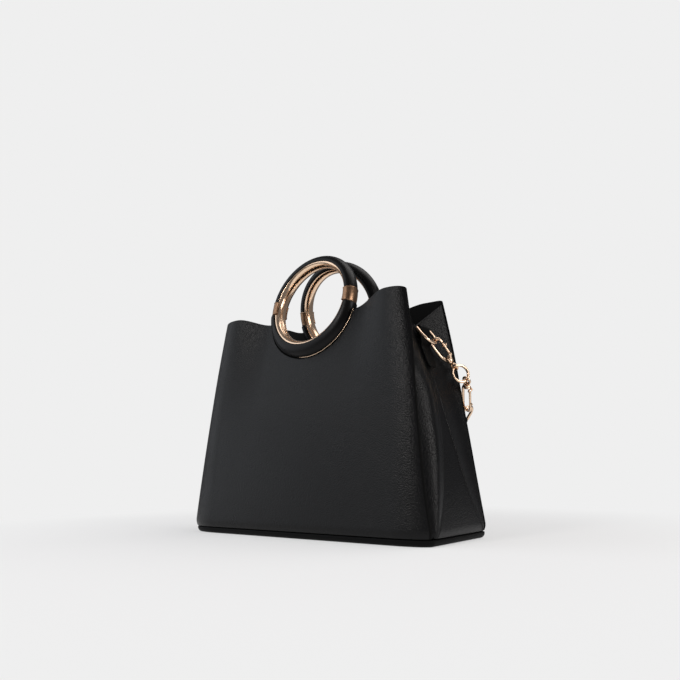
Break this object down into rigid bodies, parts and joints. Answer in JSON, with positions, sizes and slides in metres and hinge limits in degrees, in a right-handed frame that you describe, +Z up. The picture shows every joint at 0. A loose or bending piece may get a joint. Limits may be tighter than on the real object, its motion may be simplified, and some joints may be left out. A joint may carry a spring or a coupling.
{
  "type": "satchel",
  "caption": "Structured leather satchel with leather-wrapped metal ring handles, tucked-in side gussets and a strap hung from swivel clasps.",
  "frame": {"origin": "middle of the sole's underside, on the surface that the bag stands on", "axes": "+X to the bag's right along its width, +Y from the front panel to the back panel, +Z up"},
  "size_m": [0.3134, 0.1431, 0.2994],
  "materials": {
    "grained_leather": "fine embossed grain, satin black",
    "smooth_leather": "smooth black",
    "rose_gold": "polished rose-gold plating"
  },
  "bodies": {
    "bag": {"front_panel": "grained_leather", "back_panel": "grained_leather", "gusset_right": "grained_leather", "gusset_left": "grained_leather", "sole": "grained_leather", "base_panel": "grained_leather", "handle_front_ring": "rose_gold", "handle_front_grip": "smooth_leather", "handle_front_cuff": "smooth_leather", "handle_front_trim": "rose_gold", "handle_back_ring": "rose_gold", "handle_back_grip": "smooth_leather", "handle_back_cuff": "smooth_leather", "handle_back_trim": "rose_gold", "right_tab": "grained_leather", "right_d_ring": "rose_gold", "right_upper_clasp_body": "rose_gold", "right_upper_clasp_swivel": "rose_gold", "right_o_ring": "rose_gold", "right_lower_clasp_body": "rose_gold", "right_lower_clasp_swivel": "rose_gold", "right_strap_ring": "rose_gold", "left_tab": "grained_leather", "left_d_ring": "rose_gold", "left_upper_clasp_body": "rose_gold", "left_upper_clasp_swivel": "rose_gold", "left_o_ring": "rose_gold", "left_lower_clasp_body": "rose_gold", "left_lower_clasp_swivel": "rose_gold", "left_strap_ring": "rose_gold", "strap": "grained_leather"},
    "right_upper_gate": {"right_upper_clasp_gate": "rose_gold"},
    "right_lower_gate": {"right_lower_clasp_gate": "rose_gold"},
    "left_upper_gate": {"left_upper_clasp_gate": "rose_gold"},
    "left_lower_gate": {"left_lower_clasp_gate": "rose_gold"}
  },
  "joints": [
    {"name": "right_upper_gate_hinge", "type": "hinge", "parent": "bag", "child": "right_upper_gate", "pos_m": [0.14179, 0.01816, 0.1761], "axis": [0.3721, -0.8127, -0.4483], "range_deg": [0, 20], "stiffness_Nm_per_rad": 0.02, "springref_deg": -11.46},
    {"name": "right_lower_gate_hinge", "type": "hinge", "parent": "bag", "child": "right_lower_gate", "pos_m": [0.14823, 0.04316, 0.14151], "axis": [0.4361, 0.6887, 0.5793], "range_deg": [0, 15], "stiffness_Nm_per_rad": 0.02, "springref_deg": -11.46},
    {"name": "left_upper_gate_hinge", "type": "hinge", "parent": "bag", "child": "left_upper_gate", "pos_m": [-0.14179, 0.01816, 0.1761], "axis": [0.3721, 0.8127, 0.4483], "range_deg": [0, 20], "stiffness_Nm_per_rad": 0.02, "springref_deg": -11.46},
    {"name": "left_lower_gate_hinge", "type": "hinge", "parent": "bag", "child": "left_lower_gate", "pos_m": [-0.14823, 0.04316, 0.14151], "axis": [0.4361, -0.6887, -0.5793], "range_deg": [0, 15], "stiffness_Nm_per_rad": 0.02, "springref_deg": -11.46}
  ]
}
